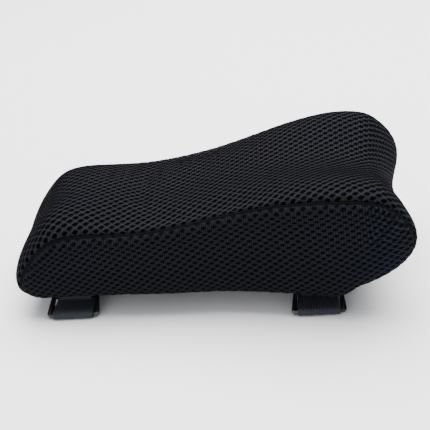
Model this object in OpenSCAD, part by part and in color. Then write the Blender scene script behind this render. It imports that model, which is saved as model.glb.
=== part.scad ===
// Armrest pad for an office chair: a wedge of slow-recovery foam in a zipped air-mesh
// cover, held on the armrest by two elastic straps that fold back through rings.
// X runs along the pad towards the raised elbow end, Y across it, Z up.
// The origin is at the middle of the footprint, on the surface that the pad stands on.

/* [Pad] */
// Half width of the pad at the low end
half_w_low = 44.5; // [40:0.5:50]
// Half width of the pad at mid length
half_w_mid = 45.5; // [40:0.5:52]
// Half width of the pad at the raised end
half_w_high = 59; // [50:0.5:62]
// Height of the flat underside above the surface that the straps lie on
base_z = 13; // [13:0.1:13.4]
// How far each side panel swells outwards at its middle
side_bulge = 4; // [2:0.5:6]
// Thickness of the mesh cover
cover_t = 3; // [2:0.5:3.5]
// Depth of the hollow along the top of the raised end
crest_dish = 4.6; // [3:0.2:8]
// Depth of the hollow across the raised end's upright face
end_dish = 7.3; // [4:0.1:9]

/* [Zip] */
// Half length of the zip
zip_half_l = 57; // [45:1:58]
// Width of the opening that the zip closes
zip_gap = 8; // [7:0.5:9]

/* [Straps] */
// Place of the front strap along the pad
front_x = -88.5; // [-89.5:0.5:-78.5]
// Place of the rear strap along the pad
rear_x = 66; // [61.5:0.5:71]
// Width of the elastic webbing
web_w = 25; // [22:0.5:25]
// Thickness of the elastic webbing
web_t = 1.3; // [1.2:0.1:1.4]
// Width of the short webbing keeper that holds the ring
keeper_w = 21; // [16:0.5:22]
// Length of the strap's folded-back tail
tail_l = 62; // [50:1:70]
// Thickness of the ring's wire
wire_d = 2.6; // [2.2:0.1:2.8]
// Width of the ring at the bar that the strap turns round
ring_w_outer = 33.5; // [32:0.5:35]
// Width of the ring at the bar that the keeper holds
ring_w_inner = 30.6; // [30.4:0.1:32]

/* [Hidden] */

// The side profile is a smooth closed curve steered by these points (X, Z), clockwise
// from the nose of the low end; the last six lie under the pad.
steer = [[-129, 22], [-109, 50.5], [-90, 60], [-51, 57], [-9, 65], [50, 80.5], [91, 82],
    [108, 76.5], [126.5, 54.5], [112, 29], [70, base_z], [30, base_z], [-10, base_z],
    [-50, base_z], [-85, base_z], [-112, 10.5]];
stations = 96;              // points round the profile
cells = 10;                 // cells across the top strip
flat_from = -100.4;          // the underside is dead flat from here
flat_to = 77.6;              // to here
blend_l = 14;               // and eases into the curve over this length
width_x = [-100, 0, 95];    // where the three half widths apply
swells = [6.5, -0.5, 5.2];      // swelling beside the middle line: low end, middle, high end
dishes = [-9, 0.5, crest_dish]; // hollow along the middle line at the same three places
low_crown = 3.2;            // how far the low end swells beside its middle line
low_fill = 3;               // and on it
low_reach = 4.2;            // how far the low end comes past its seams for that
slack = 0.3;                // room between the cover and the foam
seam_gap = 0.1;             // room between the two base panels where they meet
facing_down = -0.93;        // the base panels lie where the profile faces down this much
rings = [1, 0.9, 0.72, 0.45]; // rings of a side panel, as shares of the profile

mesh_black = [0.06, 0.06, 0.07];
web_black = [0.08, 0.08, 0.09];
foam_grey = [0.75, 0.73, 0.68];
gloss_black = [0.02, 0.02, 0.02];
thread_grey = [0.16, 0.16, 0.17];

wire_r = wire_d / 2;
side_bar_t = 2.2;           // thickness of the ring's two flat sides
side_room = 0.4;            // room between the webbing and each side of the ring
ring_end = 2;               // the cross bars end this far inside the ring's sides
ring_reach = 14.3;          // distance between the ring's two bars
wrap_gap = 0.1;             // room between a bar and the webbing round it
wrap_r = wire_r + wrap_gap + web_t;
patch_t = 0.75;             // thickness of each half of the touch fastener
band_z = web_t + 2 * patch_t + 0.1; // underside of the strap's main layer
bar_out_z = wrap_r;
bar_in_z = 7.1;
bar_drop = sqrt(pow(ring_reach, 2) - pow(bar_in_z - bar_out_z, 2));
keeper_t = 1;
keeper_r = wire_r + wrap_gap + keeper_t;
keeper_sewn_l = 19;
anchor_l = 24;
bar_overhang = [2.5, -1];   // how far the front and rear outer bars stand outside the pad
tail_gap = 0.3;             // room between the tail and the turn round the bar

coil_r = 1.1;
coil_y = 1.35;             // the two rows leave room for the slider's divider
coil_z = base_z + 1.3;
slider_l = 9;
slider_rest_x = -46;
slider_room = 0.25;         // room between the coils and the slider's plates
plate_w = 6.4;
plate_t = 0.8;
plate_z = coil_z - coil_r - slider_room - plate_t;
bridge_l = 6.8;
bridge_room = 1.7;          // room under the plate for the pull's eye
leg_l = 1.2;
neck_w = 1.6;
neck_t = 0.8;
pull_pivot_x = slider_rest_x + slider_l / 2 - bridge_l / 2;
pull_pivot_z = plate_z - bridge_room / 2;
pull_l = 15;
pull_w = 5;
pull_t = 0.9;
pull_eye_r = 0.55;
pull_slot_l = 3.7;
pull_droop = 44;            // the pull hangs at this angle below the zip

function ease(x, a, b) = let (u = min(max((x - a) / (b - a), 0), 1)) u * u * (3 - 2 * u);

function spline_at(c, t, w) = let (n = len(c), i = floor(t))
    w[0] * c[(i + n - 1) % n] + w[1] * c[i % n] + w[2] * c[(i + 1) % n] + w[3] * c[(i + 2) % n];

function point_w(u) = [pow(1 - u, 3) / 6, (3 * pow(u, 3) - 6 * u * u + 4) / 6,
    (-3 * pow(u, 3) + 3 * u * u + 3 * u + 1) / 6, pow(u, 3) / 6];

function profile_raw(k) = let (t = k * len(steer) / stations)
    spline_at(steer, t, point_w(t - floor(t)));

raw_x = [for (k = [0:stations - 1]) profile_raw(k)[0]];
shift_x = low_reach / 2 - (min(raw_x) + max(raw_x)) / 2;

// The underside is levelled between the straps' outer edges.
function levelled(p) = p[1] > base_z + 8 ? p : [p[0], base_z + (p[1] - base_z)
    * max(ease(p[0], flat_to, flat_to + blend_l), ease(-p[0], -flat_from, blend_l - flat_from))];

profile = [for (k = [0:stations - 1]) levelled(profile_raw(k) + [shift_x, 0])];

outward = [for (k = [0:stations - 1])
    let (d = profile[(k + 1) % stations] - profile[(k + stations - 1) % stations])
    [-d[1], d[0]] / norm(d)];

function half_w(x) = half_w_low + (half_w_mid - half_w_low) * ease(x, width_x[0], width_x[1])
    + (half_w_high - half_w_mid) * ease(x, width_x[1], width_x[2]);

function along(x, v) = v[0] + (v[1] - v[0]) * ease(x, width_x[0], width_x[1])
    + (v[2] - v[1]) * ease(x, width_x[1], width_x[2]);

// Height of the section above the profile line, at v from -1 to 1 across the pad.
function relief(k, v) = let (x = profile[k][0], n = outward[k],
    up = ease(n[1], -0.5, 0.5),
    high = x > 0 ? ease(n[0], 0.3, 0.95) : 0,
    low = x < 0 ? ease(-n[0], 0.3, 0.95) : 0,
    fade = ease(n[1], -0.95, -0.2),
    crown = up * along(x, swells) * (1 - high) * (1 - low) + high * 0.5 + low * low_crown,
    dish = up * along(x, dishes) * (1 - high) * (1 - low) + high * end_dish
        - low * low_fill)
    fade * (crown * 4 * v * v * (1 - v * v) - dish * pow(1 - v * v, 2));

// A point of the pad's skin, `inset` below the outside, at the share v of the half width.
function skin(k, v, inset) = let (p = profile[k] + outward[k] * (relief(k, v) - inset))
    [p[0], (half_w(profile[k][0]) - inset) * v, p[1]];

function centre_of(pts) = let (s = [for (p = pts) 1] * pts) s / len(pts);
hub = centre_of(profile);

// A point of a side panel on the ring r; side is -1 for the left and 1 for the right.
function side_point(k, r, side, inset) = let (edge = profile[k] - outward[k] * inset,
    p = hub + (edge - hub) * r)
    [p[0], side * (half_w(p[0]) - inset + side_bulge * (1 - r * r)), p[1]];

function side_hub(side, inset) =
    [hub[0], side * (half_w(hub[0]) - inset + side_bulge), hub[1]];

function quad(a, b, c, d) = [[a, b, c], [a, c, d]];
function flat1(lists) = [for (l = lists) for (e = l) e];
function turned(faces, flip) = flip ? [for (f = faces) [f[2], f[1], f[0]]] : faces;

// A wall between two grids of points with m rows and n columns: outer grid first.
module walled_sheet(outer, inner, m, n) {
    o = m * n;
    front = flat1([for (i = [0:m - 2], j = [0:n - 2])
        quad(i * n + j, (i + 1) * n + j, (i + 1) * n + j + 1, i * n + j + 1)]);
    back = [for (f = front) [f[2] + o, f[1] + o, f[0] + o]];
    side_a = flat1([for (i = [0:m - 2]) quad(i * n, i * n + o, (i + 1) * n + o, (i + 1) * n)]);
    side_b = flat1([for (i = [0:m - 2])
        quad((i + 1) * n + n - 1, (i + 1) * n + n - 1 + o, i * n + n - 1 + o, i * n + n - 1)]);
    end_a = flat1([for (j = [0:n - 2]) quad(j + 1, j + 1 + o, j + o, j)]);
    last = (m - 1) * n;
    end_b = flat1([for (j = [0:n - 2])
        quad(last + j, last + j + o, last + j + 1 + o, last + j + 1)]);
    polyhedron(concat(outer, inner), concat(front, back, side_a, side_b, end_a, end_b));
}

module foam_core() {
    inset = cover_t + slack;
    n = stations;
    m = cells + 1;
    tube = [for (j = [0:cells], k = [0:n - 1]) skin(k, -1 + 2 * j / cells, inset)];
    sides = [for (side = [-1, 1], r = [1:len(rings) - 1], k = [0:n - 1])
        side_point(k, rings[r], side, inset)];
    hubs = [side_hub(-1, inset), side_hub(1, inset)];
    first = m * n;
    rows = len(rings) - 1;
    function row(side, r) = r == 0 ? (side < 0 ? 0 : cells * n)
        : first + ((side < 0 ? 0 : rows) + r - 1) * n;
    wall = flat1([for (j = [0:cells - 1], k = [0:n - 1]) let (q = (k + 1) % n)
        quad(j * n + k, j * n + q, (j + 1) * n + q, (j + 1) * n + k)]);
    caps = flat1([for (side = [-1, 1], r = [0:rows - 1], k = [0:n - 1]) let (q = (k + 1) % n)
        turned(quad(row(side, r) + k, row(side, r + 1) + k, row(side, r + 1) + q,
            row(side, r) + q), side > 0)]);
    fans = [for (side = [-1, 1], k = [0:n - 1]) let (q = (k + 1) % n,
        h = first + 2 * rows * n + (side < 0 ? 0 : 1), a = row(side, rows) + k,
        b = row(side, rows) + q) side < 0 ? [a, h, b] : [b, h, a]];
    color(foam_grey) polyhedron(concat(tube, sides, hubs), concat(wall, caps, fans));
}

// The base panels take the stations that face down; the top strip takes all the others,
// from under the low end, over the top, and down round the raised end.
under_k = [for (k = [0:stations - 1]) if (outward[k][1] < facing_down) k];
base_k = [for (k = [min(under_k):max(under_k)]) k];
strip_k = [for (k = [max(under_k):stations + min(under_k)]) k % stations];

module top_strip() {
    m = len(strip_k);
    n = cells + 1;
    color(mesh_black) walled_sheet(
        [for (k = strip_k, j = [0:cells]) skin(k, -1 + 2 * j / cells, 0)],
        [for (k = strip_k, j = [0:cells]) skin(k, -1 + 2 * j / cells, cover_t)], m, n);
}

module side_panel(side) {
    n = stations;
    m = len(rings);
    outer = [for (r = rings, k = [0:n - 1]) side_point(k, r, side, 0)];
    inner = [for (r = rings, k = [0:n - 1]) side_point(k, r, side, cover_t)];
    o = m * n;
    skin_faces = flat1([for (r = [0:m - 2], k = [0:n - 1]) let (q = (k + 1) % n)
        quad(r * n + k, (r + 1) * n + k, (r + 1) * n + q, r * n + q)]);
    fan = [for (k = [0:n - 1]) [(m - 1) * n + k, 2 * o, (m - 1) * n + (k + 1) % n]];
    back = [for (f = concat(skin_faces, fan)) [for (i = [2, 1, 0])
        f[i] == 2 * o ? 2 * o + 1 : f[i] + o]];
    rim = flat1([for (k = [0:n - 1]) let (q = (k + 1) % n) quad(q, q + o, k + o, k)]);
    color(mesh_black) polyhedron(
        concat(outer, inner, [side_hub(side, 0), side_hub(side, cover_t)]),
        turned(concat(skin_faces, fan, back, rim), side > 0));
}

module left_side_panel() { side_panel(-1); }
module right_side_panel() { side_panel(1); }

// Half of the open slot for the zip at x; past the zip's ends the two panels meet.
function slot_half(x) = abs(x) < zip_half_l + 7 ? zip_gap / 2 : seam_gap / 2;

module base_panel(side) {
    m = len(base_k);
    n = 5;
    function across(x, inset, j) = let (a = half_w(x) - inset, b = slot_half(x))
        side < 0 ? -a + (a - b) * j / (n - 1) : b + (a - b) * j / (n - 1);
    function sheet(inset) = [for (k = base_k, j = [0:n - 1])
        let (p = profile[k] - outward[k] * inset) [p[0], across(profile[k][0], inset, j), p[1]]];
    color(mesh_black) walled_sheet(sheet(0), sheet(cover_t), m, n);
}

module base_left_panel() { base_panel(-1); }
module base_right_panel() { base_panel(1); }

module zipper_tape(side) {
    inner_y = coil_y + coil_r;
    color(web_black) translate([-zip_half_l, side < 0 ? -zip_gap / 2 : inner_y, coil_z - 0.4])
        cube([2 * zip_half_l, zip_gap / 2 - inner_y, 0.8]);
}

module zipper_coil(side) {
    color(gloss_black) translate([-zip_half_l + 2, side * coil_y, coil_z]) rotate([0, 90, 0])
        cylinder(r = coil_r, h = 2 * zip_half_l - 4, $fn = 24);
}

module zipper_tape_left() { zipper_tape(-1); }
module zipper_tape_right() { zipper_tape(1); }
module zipper_coil_left() { zipper_coil(-1); }
module zipper_coil_right() { zipper_coil(1); }

module zipper_stops() {
    stop_l = 1.8;
    color(gloss_black) for (end = [-1, 1])
        translate([end * (zip_half_l - stop_l / 2 - 0.1), 0, coil_z])
            cube([stop_l, 2 * (coil_y + coil_r) - 0.6, 1.4], center = true);
}

// The slider wraps both coils: a plate below, a plate above with a divider between the
// rows, and a bridge underneath for the pull.
module zipper_slider() {
    translate([slider_rest_x + slider_l / 2, 0, 0]) mirror([1, 0, 0]) color(gloss_black) union() {
        translate([0, -plate_w / 2, plate_z]) cube([slider_l, plate_w, plate_t]);
        translate([0, -plate_w / 2, coil_z + coil_r + slider_room])
            cube([slider_l, plate_w, 0.3]);
        for (side = [-1, 1]) translate([0, side * (plate_w - 0.5) / 2 - 0.25, plate_z])
            cube([slider_l, 0.5, plate_t + 0.7]);
        translate([0, -0.15, plate_z]) cube([1.2, 0.3, coil_z + coil_r + slider_room - plate_z]);
        for (leg = [0, bridge_l - leg_l])
            translate([leg, -neck_w / 2, plate_z - bridge_room - neck_t])
                cube([leg_l, neck_w, bridge_room + neck_t]);
        translate([0, -neck_w / 2, plate_z - bridge_room - neck_t])
            cube([bridge_l, neck_w, neck_t]);
    }
}

module zipper_pull() {
    translate([pull_pivot_x, 0, pull_pivot_z]) rotate([0, 180 - pull_droop, 0]) color(gloss_black)
        difference() {
            union() {
                translate([0, -pull_w / 2, -pull_t / 2]) cube([pull_l, pull_w, pull_t]);
                translate([0, pull_w / 2, 0]) rotate([90, 0, 0])
                    cylinder(r = pull_eye_r, h = pull_w, $fn = 24);
            }
            translate([pull_eye_r, -neck_w / 2 - 0.5, -pull_t])
                cube([pull_slot_l, neck_w + 1, 2 * pull_t]);
        }
}

// Places across the pad for the strap at x.
function bar_out_y(x) = -half_w(x) - bar_overhang[x < 0 ? 0 : 1];
function bar_in_y(x) = bar_out_y(x) + bar_drop;
function turn_y(x) = half_w(x) - 8;

// A layer of webbing that follows straight legs in the Y-Z plane, across the width w at x.
module web_path(x, w, points, t) {
    translate([x - w / 2, 0, 0]) rotate([90, 0, 90]) linear_extrude(w) union() {
        for (i = [0:len(points) - 2]) let (p = points[i], d = points[i + 1] - points[i])
            translate(p) rotate(atan2(d[1], d[0])) translate([0, -t / 2])
                square([norm(d), t]);
        if (len(points) > 2) for (i = [1:len(points) - 2])
            translate(points[i]) circle(d = t, $fn = 24);
    }
}

// A half turn of webbing about a centre, on the side of +Y or -Y.
module web_turn(x, w, centre, r_in, r_out, side) {
    translate([x - w / 2, 0, 0]) rotate([90, 0, 90]) linear_extrude(w) translate(centre)
        difference() {
            circle(r = r_out, $fn = 48);
            circle(r = r_in, $fn = 48);
            translate([side > 0 ? -2 * r_out : 0, -2 * r_out]) square([2 * r_out, 4 * r_out]);
        }
}

module anchor(x) {
    color(web_black) translate([x - web_w / 2, turn_y(x) - anchor_l, base_z - web_t])
        cube([web_w, anchor_l, web_t]);
}

module riser(x) {
    r_out = (base_z - band_z) / 2;
    color(web_black) web_turn(x, web_w, [turn_y(x), base_z - r_out], r_out - web_t, r_out, 1);
}

module strap(x) {
    mid = band_z + web_t / 2;
    over = bar_out_z + wire_r + wrap_gap + web_t / 2;
    color(web_black) union() {
        web_path(x, web_w, [[turn_y(x), mid], [bar_in_y(x), mid], [bar_out_y(x), over]], web_t);
        web_turn(x, web_w, [bar_out_y(x), bar_out_z], wire_r + wrap_gap, wrap_r, -1);
    }
}

module tail(x) {
    color(web_black) translate([x - web_w / 2, bar_out_y(x) + tail_gap, 0])
        cube([web_w, tail_l, web_t]);
}

module patch(x, z) {
    inset_w = 1.5;
    patch_l = 34;
    color(thread_grey) translate([x - web_w / 2 + inset_w, bar_out_y(x) + tail_l - patch_l - 2, z])
        cube([web_w - 2 * inset_w, patch_l, patch_t]);
}

// A moulded loop: two round cross bars, and two flat sides that flare towards the outer bar.
module ring(x) {
    inner_half = web_w / 2 + side_room;
    out_half = ring_w_outer / 2;
    in_half = ring_w_inner / 2;
    tilt = atan2(bar_in_z - bar_out_z, bar_drop);
    color(gloss_black) union() {
        for (bar = [[out_half, bar_out_y(x), bar_out_z], [in_half, bar_in_y(x), bar_in_z]])
            translate([x - bar[0] + ring_end, bar[1], bar[2]]) rotate([0, 90, 0])
                cylinder(r = wire_r, h = 2 * (bar[0] - ring_end), $fn = 32);
        translate([x, bar_out_y(x), bar_out_z]) rotate([tilt, 0, 0])
            translate([0, 0, -side_bar_t / 2]) linear_extrude(side_bar_t)
                for (s = [-1, 1]) polygon([
                    [s * inner_half, -wire_r], [s * (out_half - 1.5), -wire_r],
                    [s * out_half, 0.4], [s * in_half, ring_reach],
                    [s * (in_half - 1), ring_reach + wire_r],
                    [s * inner_half, ring_reach + wire_r]]);
    }
}

// The keeper is one short piece of webbing folded round the ring's inner bar.
module keeper(x) {
    y = bar_in_y(x);
    top = base_z - keeper_t / 2;
    r_mid = wire_r + wrap_gap + keeper_t / 2;
    low = top - keeper_t - 0.05;
    sewn = y + 7;
    color(web_black) union() {
        web_turn(x, keeper_w, [y, bar_in_z], wire_r + wrap_gap, keeper_r, -1);
        web_turn(x, keeper_w, [y, bar_in_z], wire_r + wrap_gap, keeper_r, 1);
        web_path(x, keeper_w, [[y, bar_in_z + r_mid], [sewn, top], [sewn + keeper_sewn_l, top]],
            keeper_t);
        web_path(x, keeper_w, [[y + r_mid * 0.85, bar_in_z - r_mid * 0.5], [sewn + 2, low],
            [sewn + keeper_sewn_l, low]], keeper_t);
    }
}

// Rows of thread that hold the anchor and the keeper: a square with a bar across it.
module stitches(x) {
    thread_d = 0.5;
    color(thread_grey) {
        for (y = [3, 12, 21]) translate([x - web_w / 2 + 2, turn_y(x) - y,
            base_z - web_t - thread_d / 2])
            rotate([0, 90, 0]) cylinder(d = thread_d, h = web_w - 4, $fn = 16);
        for (y = [12, 24]) translate([x - keeper_w / 2 + 2, bar_in_y(x) + y,
            base_z - 2 * keeper_t - 0.05 - thread_d / 2])
            rotate([0, 90, 0]) cylinder(d = thread_d, h = keeper_w - 4, $fn = 16);
    }
}

module front_anchor() { anchor(front_x); }
module front_riser() { riser(front_x); }
module front_strap() { strap(front_x); }
module front_ring() { ring(front_x); }
module front_keeper() { keeper(front_x); }
module front_tail() { tail(front_x); }
module front_hook_patch() { patch(front_x, web_t); }
module front_loop_patch() { patch(front_x, band_z - patch_t); }
module front_stitches() { stitches(front_x); }
module rear_anchor() { anchor(rear_x); }
module rear_riser() { riser(rear_x); }
module rear_strap() { strap(rear_x); }
module rear_ring() { ring(rear_x); }
module rear_keeper() { keeper(rear_x); }
module rear_tail() { tail(rear_x); }
module rear_hook_patch() { patch(rear_x, web_t); }
module rear_loop_patch() { patch(rear_x, band_z - patch_t); }
module rear_stitches() { stitches(rear_x); }

foam_core();
top_strip();
left_side_panel();
right_side_panel();
base_left_panel();
base_right_panel();
zipper_tape_left();
zipper_tape_right();
zipper_coil_left();
zipper_coil_right();
zipper_stops();
zipper_slider();
zipper_pull();
front_anchor();
front_riser();
front_strap();
front_ring();
front_keeper();
front_tail();
front_hook_patch();
front_loop_patch();
front_stitches();
rear_anchor();
rear_riser();
rear_strap();
rear_ring();
rear_keeper();
rear_tail();
rear_hook_patch();
rear_loop_patch();
rear_stitches();
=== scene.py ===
import math

import bmesh
import bpy
import numpy as np
from mathutils import Matrix, Vector, noise
from mathutils.kdtree import KDTree


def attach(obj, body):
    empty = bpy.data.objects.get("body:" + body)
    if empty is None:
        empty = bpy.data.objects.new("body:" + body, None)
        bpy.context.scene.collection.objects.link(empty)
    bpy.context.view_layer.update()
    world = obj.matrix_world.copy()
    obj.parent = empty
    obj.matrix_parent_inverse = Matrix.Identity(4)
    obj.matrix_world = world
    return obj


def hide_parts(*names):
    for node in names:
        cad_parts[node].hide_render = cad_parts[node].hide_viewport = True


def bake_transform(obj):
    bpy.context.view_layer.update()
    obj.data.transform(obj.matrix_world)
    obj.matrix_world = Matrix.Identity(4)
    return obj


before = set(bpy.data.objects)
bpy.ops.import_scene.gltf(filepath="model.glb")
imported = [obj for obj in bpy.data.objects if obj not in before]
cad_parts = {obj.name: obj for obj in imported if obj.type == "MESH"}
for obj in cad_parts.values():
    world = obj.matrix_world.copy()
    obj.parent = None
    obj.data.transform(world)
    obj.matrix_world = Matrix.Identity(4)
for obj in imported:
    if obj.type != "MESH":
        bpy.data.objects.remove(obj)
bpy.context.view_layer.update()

# ---------------------------------------------------------------------------
# Sizes, in metres. The pattern of the pad has the form of the CAD part's. Two of its points
# and its swells differ by about a millimetre, for the stuffing of the cover.
# ---------------------------------------------------------------------------
MM = 0.001
BASE_Z = 13 * MM           # height of the pad's underside
STEER = np.array([
    (-129, 22), (-109, 50.5), (-90, 61), (-51, 58), (-9, 65), (50, 80.5), (91, 82),
    (108, 76.5), (126.5, 54.5), (112, 29), (70, 13), (30, 13), (-10, 13), (-50, 13),
    (-85, 13), (-112, 10.5),
]) * MM
HALF_WIDTHS = (44.5 * MM, 45.5 * MM, 59 * MM)
WIDTH_AT = (-100 * MM, 0.0, 95 * MM)
WAIST_OUT = 1.0 * MM       # the stuffed cover bellies out between the straps
# The underside is level between these places, and eases into the profile beyond them.
FLAT_FROM, FLAT_TO, BLEND = -100.4 * MM, 77.6 * MM, 14 * MM
# How far the top swells beside the middle and dips in it: low end, waist, raised end.
CROWN = (5.2 * MM, 0.0, 5.0 * MM)
DISH = (-8.5 * MM, 0.5 * MM, 4.6 * MM)
END_CROWN, END_DISH = 0.5 * MM, 7.3 * MM       # round the raised end
NOSE_CROWN, NOSE_DISH, NOSE_REACH = 3.2 * MM, -3.0 * MM, 4.2 * MM    # and the low one
FACING_DOWN = -0.93        # the profile's outward slope where the underside begins

SEAM_R = 3.2 * MM          # how far from the seam the panels start to roll inwards
SEAM_DEPTH = 1.5 * MM      # depth of the groove along the seam
SEAM_W = 1.3 * MM          # and its half width
SIDE_BULGE = 4.0 * MM       # how far the side panels stand out
GATHER = 1.6 * MM          # how far the sewing stretches the first holes under the top seam
BULGE_REACH = 15 * MM      # the side panel is full this far from its edge

# Mesh holes: pitch along a row, distance between the staggered rows, openness of the holes.
TOP_KNIT = (6.4 * MM, 2.35 * MM, 0.96)
SIDE_KNIT = (6.4 * MM, 2.1 * MM, 0.86)
SIDE_TURN = math.radians(7)
HOLE_DEEP = 0.55 * MM
LUMP = 0.6 * MM            # the cover lies a little unevenly over the foam
LUMP_FREQUENCY = 38.0      # how many humps and hollows to the metre

RIB_PITCH, RIB_RISE = 1.6 * MM, 0.16 * MM    # ribs of the webbing

ZIP_HALF_L = 57 * MM
ZIP_GAP = 8 * MM           # width of the slot in the underside
FILLING_CELL = 4.5 * MM    # even cells that the filling is cut into
FILLING_FRAMES = 20
MOST_SWELL = 2.2 * MM      # the pressure moves no point further than this


def eased(x, a, b):
    u = np.clip((x - a) / (b - a), 0, 1)
    return u * u * (3 - 2 * u)


def three_way(x, values):
    low, mid, high = values
    return (low + (mid - low) * eased(x, WIDTH_AT[0], WIDTH_AT[1])
            + (high - mid) * eased(x, WIDTH_AT[1], WIDTH_AT[2]))


def half_width(x):
    waist = WAIST_OUT * eased(x, -70 * MM, -20 * MM) * (1 - eased(x, 8 * MM, 50 * MM))
    return three_way(x, HALF_WIDTHS) + waist


def spline_outline(count):
    """The side profile: a closed curve steered by STEER, levelled under the pad."""
    n = len(STEER)
    t = np.arange(count) * n / count
    i = np.floor(t).astype(int)
    u = (t - i)[:, None]
    shares = ((1 - u) ** 3 / 6, (3 * u ** 3 - 6 * u * u + 4) / 6,
              (-3 * u ** 3 + 3 * u * u + 3 * u + 1) / 6, u ** 3 / 6)
    points = sum(s * STEER[(i + k - 1) % n] for k, s in enumerate(shares))
    points[:, 0] += NOSE_REACH / 2 - (points[:, 0].min() + points[:, 0].max()) / 2
    x, z = points.T
    keep = np.maximum(eased(x, FLAT_TO, FLAT_TO + BLEND), eased(-x, -FLAT_FROM, BLEND - FLAT_FROM))
    low = z < BASE_Z + 8 * MM
    points[low, 1] = (BASE_Z + (z - BASE_Z) * keep)[low]
    return points


OUTLINE = spline_outline(1600)
tangent = np.roll(OUTLINE, -1, 0) - np.roll(OUTLINE, 1, 0)
tangent /= np.linalg.norm(tangent, axis=1)[:, None]
OUT = np.stack([-tangent[:, 1], tangent[:, 0]], 1)
OUTLINE_TREE = KDTree(len(OUTLINE))
for index, (px, pz) in enumerate(OUTLINE):
    OUTLINE_TREE.insert((px, 0, pz), index)
OUTLINE_TREE.balance()
under = np.where(OUT[:, 1] < FACING_DOWN)[0]
BASE_FIRST, BASE_LAST = under.min(), under.max()
# The top strip's stations: from under the low end, over the top, round the raised end.
strip_index = np.arange(BASE_LAST, BASE_FIRST + len(OUTLINE) + 1) % len(OUTLINE)
STRIP = OUTLINE[strip_index]
STRIP_OUT = OUT[strip_index]
STRIP_S = np.concatenate([[0], np.cumsum(np.linalg.norm(np.diff(STRIP, axis=0), axis=1))])


def relief(x, n, v):
    """Height of the section above the profile line; n is the outward direction there."""
    up = eased(n[:, 1], -0.5, 0.5)
    high = np.where(x > 0, eased(n[:, 0], 0.3, 0.95), 0)
    low = np.where(x < 0, eased(-n[:, 0], 0.3, 0.95), 0)
    fade = eased(n[:, 1], -0.95, -0.2)
    middle = up * (1 - high) * (1 - low)
    crown = middle * three_way(x, CROWN) + high * END_CROWN + low * NOSE_CROWN
    dish = middle * three_way(x, DISH) + high * END_DISH + low * NOSE_DISH
    return fade * (crown * 4 * v * v * (1 - v * v) - dish * (1 - v * v) ** 2)


def roll_in(d):
    """How far a panel turns in at the distance d from its seam: (along it, below it)."""
    turn = (1 - np.clip(d / SEAM_R, 0, 1)) * math.pi / 4
    along = np.where(d < SEAM_R, SEAM_R - SEAM_R * np.sin(turn), d)
    groove = SEAM_DEPTH * np.exp(-(d / SEAM_W) ** 2) * 0.7
    return along + groove, SEAM_R * (1 - np.cos(turn)) + groove


def top_surface(s, y):
    """The top strip: s runs along the profile, y across, as lengths on the cloth."""
    x, z = np.interp(s, STRIP_S, STRIP[:, 0]), np.interp(s, STRIP_S, STRIP[:, 1])
    n = np.stack([np.interp(s, STRIP_S, STRIP_OUT[:, 0]),
                  np.interp(s, STRIP_S, STRIP_OUT[:, 1])], 1)
    n /= np.linalg.norm(n, axis=1)[:, None]
    w = half_width(x)
    along, below = roll_in(np.maximum(w - np.abs(y), 0))
    rise = relief(x, n, np.clip(y / w, -1, 1)) - below
    return np.stack([x + n[:, 0] * rise, np.sign(y) * (w - along), z + n[:, 1] * rise], 1)


def nearest_edge(x, z):
    """(distance inside the outline, index of the nearest outline point) for each point."""
    found = np.array([OUTLINE_TREE.find((a, 0, b))[1] for a, b in zip(x, z)])
    edge = OUTLINE[found]
    inside = -((x - edge[:, 0]) * OUT[found, 0] + (z - edge[:, 1]) * OUT[found, 1])
    gap = np.hypot(x - edge[:, 0], z - edge[:, 1])
    return np.where(inside > 0, gap, -gap), found


def side_surface(x, z, side):
    d, found = nearest_edge(x, z)
    d = np.maximum(d, 0)
    along, below = roll_in(d)
    edge, n = OUTLINE[found], OUT[found]
    rolled = d < SEAM_R * 1.5
    pulled = GATHER * eased(d, 0, 4 * MM) * (1 - eased(d, 5 * MM, 13 * MM)) * eased(n[:, 1], 0, 0.6)
    px = np.where(rolled, edge[:, 0] - n[:, 0] * along, x) - n[:, 0] * pulled
    pz = np.where(rolled, edge[:, 1] - n[:, 1] * along, z) - n[:, 1] * pulled
    full = 1 - (1 - np.clip(d / BULGE_REACH, 0, 1)) ** 2
    pucker = (0.55 * MM * np.sin(found * 0.62 + 2.3 * np.sin(found * 0.05))
              * np.exp(-((d - 3.2 * MM) / (2.2 * MM)) ** 2) * eased(n[:, 1], 0.2, 0.8))
    y = side * (half_width(px) + SIDE_BULGE * full + pucker - below)
    return np.stack([px, y, pz], 1)


def base_surface(x, y):
    order = np.arange(BASE_LAST, BASE_FIRST - 1, -1)
    line = OUTLINE[order]
    z = np.interp(x, line[:, 0], line[:, 1])
    w = half_width(x)
    along, below = roll_in(np.maximum(w - np.abs(y), 0))
    return np.stack([x, np.sign(y) * np.minimum(np.abs(y), w - along), z + below], 1)


# ---------------------------------------------------------------------------
# Tools for meshes
# ---------------------------------------------------------------------------
def placed(name, data):
    """An object of the mesh, camera or light, in the scene."""
    piece = bpy.data.objects.new(name, data)
    bpy.context.scene.collection.objects.link(piece)
    return piece


def cleaned(mesh, work_on):
    """Lets work_on change the mesh by way of bmesh."""
    work = bmesh.new()
    work.from_mesh(mesh)
    work_on(work)
    work.to_mesh(mesh)
    work.free()


def face_outwards(work):
    bmesh.ops.recalc_face_normals(work, faces=work.faces)


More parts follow.
